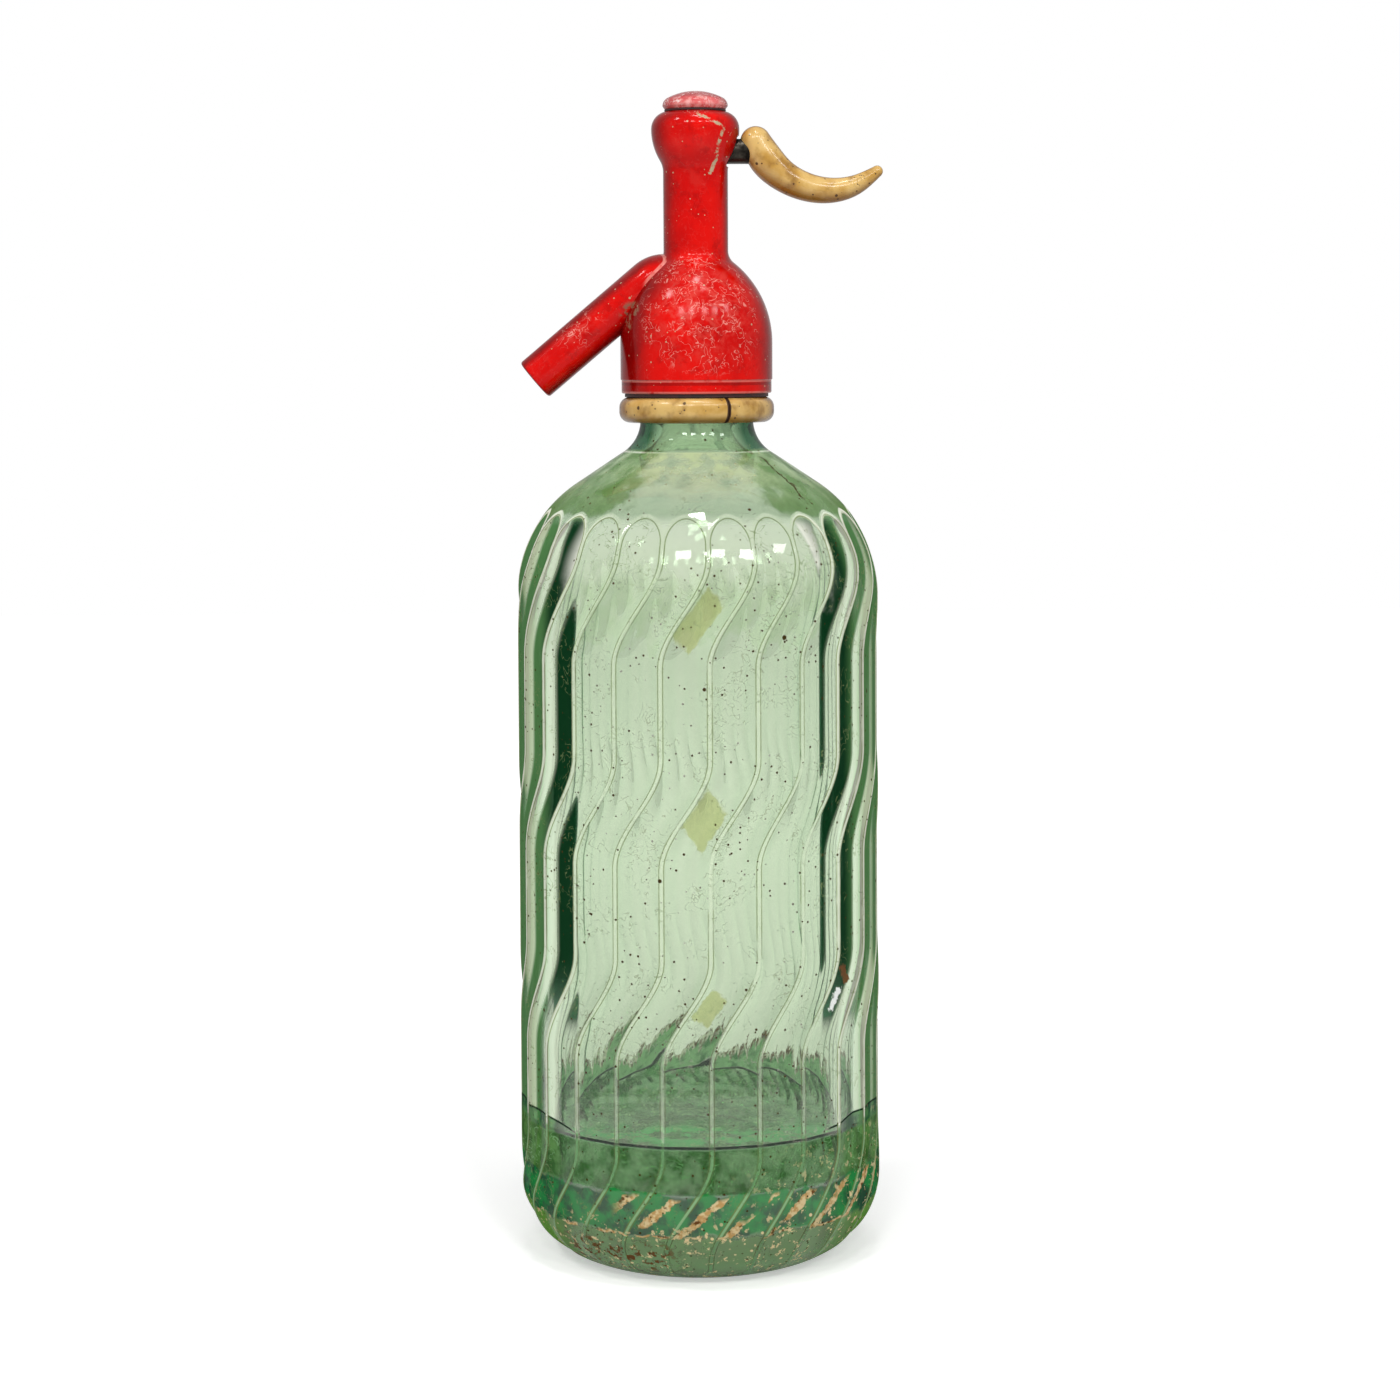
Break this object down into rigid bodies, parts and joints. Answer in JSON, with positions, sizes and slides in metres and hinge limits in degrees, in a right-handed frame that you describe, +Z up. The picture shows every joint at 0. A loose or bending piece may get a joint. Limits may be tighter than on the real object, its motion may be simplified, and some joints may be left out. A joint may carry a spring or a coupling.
{
  "type": "soda siphon",
  "caption": "Soda siphon: wavy fluted green glass bottle, red enamelled head with a slanted spout, split collar, and a sprung lever that lifts the valve.",
  "frame": {"origin": "on the floor, in the middle of the bottle's base", "axes": "+Z up along the bottle's axis, +X towards the lever, -X towards the spout"},
  "size_m": [0.0989, 0.0984, 0.3131],
  "materials": {
    "green_glass": "pressed, polished",
    "soda_water": "clear liquid",
    "clear_glass": "drawn, polished",
    "seal_rubber": "matt",
    "fibre": "matt, dark with age",
    "cream_plastic": "glossy, aged, speckled",
    "red_enamel": "glossy enamel, chipped",
    "faded_enamel": "enamel worn pink",
    "dark_steel": "dull, tarnished",
    "brass": "turned",
    "spring_steel": "bright",
    "packing_leather": "greased"
  },
  "bodies": {
    "root": {"bottle_glass": "green_glass", "soda_water": "soda_water", "siphon_tube": "clear_glass", "tube_sleeve": "seal_rubber", "neck_gasket": "seal_rubber", "collar_washer": "fibre", "collar_half_front": "cream_plastic", "collar_half_back": "cream_plastic", "head_body": "red_enamel", "spout_tube": "red_enamel", "valve_seat": "brass", "gland_packing": "packing_leather", "gland_nut": "brass", "top_cap": "faded_enamel", "cap_washer": "fibre", "lever_pin": "dark_steel"},
    "lever": {"lever_arm": "dark_steel", "lever_grip": "cream_plastic"},
    "valve": {"valve_stem": "brass", "valve_washer": "seal_rubber", "washer_screw": "brass", "stem_collar": "brass", "valve_spring": "spring_steel"}
  },
  "joints": [
    {"name": "lever_pivot", "type": "hinge", "parent": "root", "child": "lever", "pos_m": [0.007, 0, 0.2973], "axis": [0, 1, 0], "range_deg": [0, 15], "stiffness_Nm_per_rad": 0.1, "springref_deg": -11.46},
    {"name": "valve_lift", "type": "slide", "parent": "root", "child": "valve", "axis": [0, 0, 1], "range_m": [0, 0.0019], "deforming": ["valve_spring"]}
  ],
  "couplings": [
    {"joint": "valve_lift", "follows": "lever_pivot", "m_per_rad": 0.007}
  ]
}
